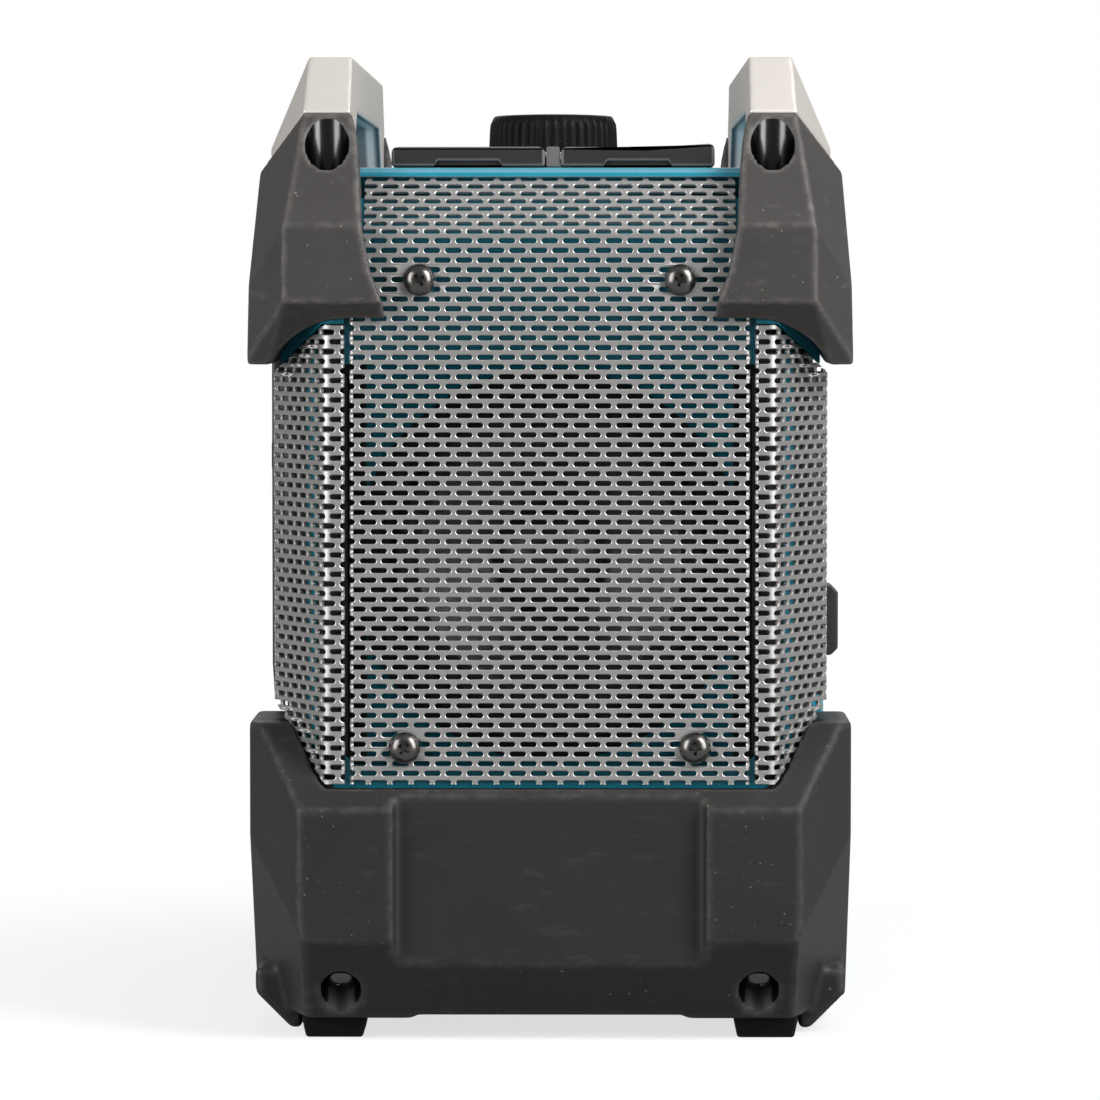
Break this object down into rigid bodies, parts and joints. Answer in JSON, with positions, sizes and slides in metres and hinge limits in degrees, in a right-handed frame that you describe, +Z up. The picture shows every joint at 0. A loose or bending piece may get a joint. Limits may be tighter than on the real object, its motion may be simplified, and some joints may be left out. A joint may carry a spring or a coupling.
{
  "type": "jobsite radio",
  "caption": "Rugged site radio with punched end grilles, rubber corner bumpers, two handle bars, folding antenna, socket flaps and a battery bay.",
  "frame": {"origin": "on the table at the centre of the footprint", "axes": "+X towards the end with the socket flaps, -Y towards the control panel, +Z up"},
  "size_m": [0.282, 0.166, 0.269],
  "materials": {
    "blue_housing": "fine moulded grain, satin",
    "black_plastic": "moulded grain, matte",
    "punched_steel": "coated silver, fine grain",
    "bumper_rubber": "matte rubber with dust",
    "button_rubber": "matte rubber",
    "handle_metal": "satin silver",
    "display_glass": "smoked clear",
    "circuit_board": "solder mask",
    "speaker_frame": "black paint",
    "magnet_iron": "dark ferrite",
    "speaker_cone": "pressed pulp",
    "surround_rubber": "smooth rubber",
    "contact_brass": "plated contact",
    "plated_steel": "nickel plate",
    "screw_steel": "black zinc"
  },
  "bodies": {
    "radio": {"front_housing": "blue_housing", "rear_housing": "blue_housing", "top_deck": "blue_housing", "right_baffle": "black_plastic", "left_baffle": "black_plastic", "right_end_grille": "punched_steel", "left_end_grille": "punched_steel", "front_right_corner_grille": "punched_steel", "front_left_corner_grille": "punched_steel", "rear_right_corner_grille": "punched_steel", "rear_left_corner_grille": "punched_steel", "front_right_bumper": "bumper_rubber", "front_left_bumper": "bumper_rubber", "rear_right_bumper": "bumper_rubber", "rear_left_bumper": "bumper_rubber", "right_boot": "bumper_rubber", "left_boot": "bumper_rubber", "feet": "bumper_rubber", "front_handle": "handle_metal", "rear_handle": "handle_metal", "control_panel": "black_plastic", "display_window": "display_glass", "display_module": "circuit_board", "main_board": "circuit_board", "power_board": "circuit_board", "speaker_frames": "speaker_frame", "speaker_magnets": "magnet_iron", "speaker_cones": "speaker_cone", "speaker_surrounds": "surround_rubber", "dust_caps": "speaker_cone", "battery_bay": "black_plastic", "battery_terminals": "contact_brass", "door_hinge_pin": "plated_steel", "audio_socket": "plated_steel", "charging_socket": "plated_steel", "power_inlet": "black_plastic", "flap_pins": "plated_steel", "encoder_body": "plated_steel", "antenna_base": "plated_steel", "antenna_pin": "plated_steel", "grille_screws": "screw_steel", "bumper_screws": "screw_steel", "housing_screws": "screw_steel"},
    "knob": {"volume_knob": "black_plastic", "encoder_shaft": "plated_steel"},
    "door": {"battery_door": "blue_housing", "door_seal": "bumper_rubber"},
    "latch": {"battery_latch": "black_plastic"},
    "front_flap_body": {"front_flap": "black_plastic"},
    "rear_flap_body": {"rear_flap": "black_plastic"},
    "antenna": {"antenna_tube": "plated_steel"},
    "antenna_middle_body": {"antenna_middle": "plated_steel"},
    "antenna_tip_body": {"antenna_tip": "plated_steel"},
    "power_button_body": {"power_button": "button_rubber"},
    "source_button_body": {"source_button": "button_rubber"},
    "tune_down_button_body": {"tune_down_button": "button_rubber"},
    "tune_up_button_body": {"tune_up_button": "button_rubber"},
    "menu_button_body": {"menu_button": "button_rubber"},
    "preset_1_button_body": {"preset_1_button": "button_rubber"},
    "preset_2_button_body": {"preset_2_button": "button_rubber"}
  },
  "joints": [
    {"name": "knob_turn", "type": "hinge", "parent": "radio", "child": "knob", "pos_m": [0, 0, 0.248], "axis": [0, 0, 1], "continuous": true},
    {"name": "door_swing", "type": "hinge", "parent": "radio", "child": "door", "pos_m": [-0.062, 0.0756, 0.112], "axis": [0, 0, 1], "range_deg": [0, 110]},
    {"name": "latch_slide", "type": "slide", "parent": "door", "child": "latch", "axis": [-1, 0, 0], "range_m": [0, 0.005], "stiffness_N_per_m": 400},
    {"name": "front_flap_swing", "type": "hinge", "parent": "radio", "child": "front_flap_body", "pos_m": [0.06, -0.022, 0.2414], "axis": [0, -1, 0], "range_deg": [0, 100]},
    {"name": "rear_flap_swing", "type": "hinge", "parent": "radio", "child": "rear_flap_body", "pos_m": [0.06, 0.022, 0.2414], "axis": [0, -1, 0], "range_deg": [0, 100]},
    {"name": "antenna_fold", "type": "hinge", "parent": "radio", "child": "antenna", "pos_m": [0.034, 0.0008, 0.2414], "axis": [0, -1, 0], "range_deg": [0, 90]},
    {"name": "antenna_middle_slide", "type": "slide", "parent": "antenna", "child": "antenna_middle_body", "axis": [1, 0, 0], "range_m": [0, 0.065]},
    {"name": "antenna_tip_slide", "type": "slide", "parent": "antenna_middle_body", "child": "antenna_tip_body", "axis": [1, 0, 0], "range_m": [0, 0.062]},
    {"name": "power_button_press", "type": "slide", "parent": "radio", "child": "power_button_body", "axis": [0, 1, 0], "range_m": [0, 0.001], "stiffness_N_per_m": 500},
    {"name": "source_button_press", "type": "slide", "parent": "radio", "child": "source_button_body", "axis": [0, 1, 0], "range_m": [0, 0.001], "stiffness_N_per_m": 500},
    {"name": "tune_down_button_press", "type": "slide", "parent": "radio", "child": "tune_down_button_body", "axis": [0, 1, 0], "range_m": [0, 0.001], "stiffness_N_per_m": 500},
    {"name": "tune_up_button_press", "type": "slide", "parent": "radio", "child": "tune_up_button_body", "axis": [0, 1, 0], "range_m": [0, 0.001], "stiffness_N_per_m": 500},
    {"name": "menu_button_press", "type": "slide", "parent": "radio", "child": "menu_button_body", "axis": [0, 1, 0], "range_m": [0, 0.001], "stiffness_N_per_m": 500},
    {"name": "preset_1_button_press", "type": "slide", "parent": "radio", "child": "preset_1_button_body", "axis": [0, 1, 0], "range_m": [0, 0.001], "stiffness_N_per_m": 500},
    {"name": "preset_2_button_press", "type": "slide", "parent": "radio", "child": "preset_2_button_body", "axis": [0, 1, 0], "range_m": [0, 0.001], "stiffness_N_per_m": 500}
  ]
}
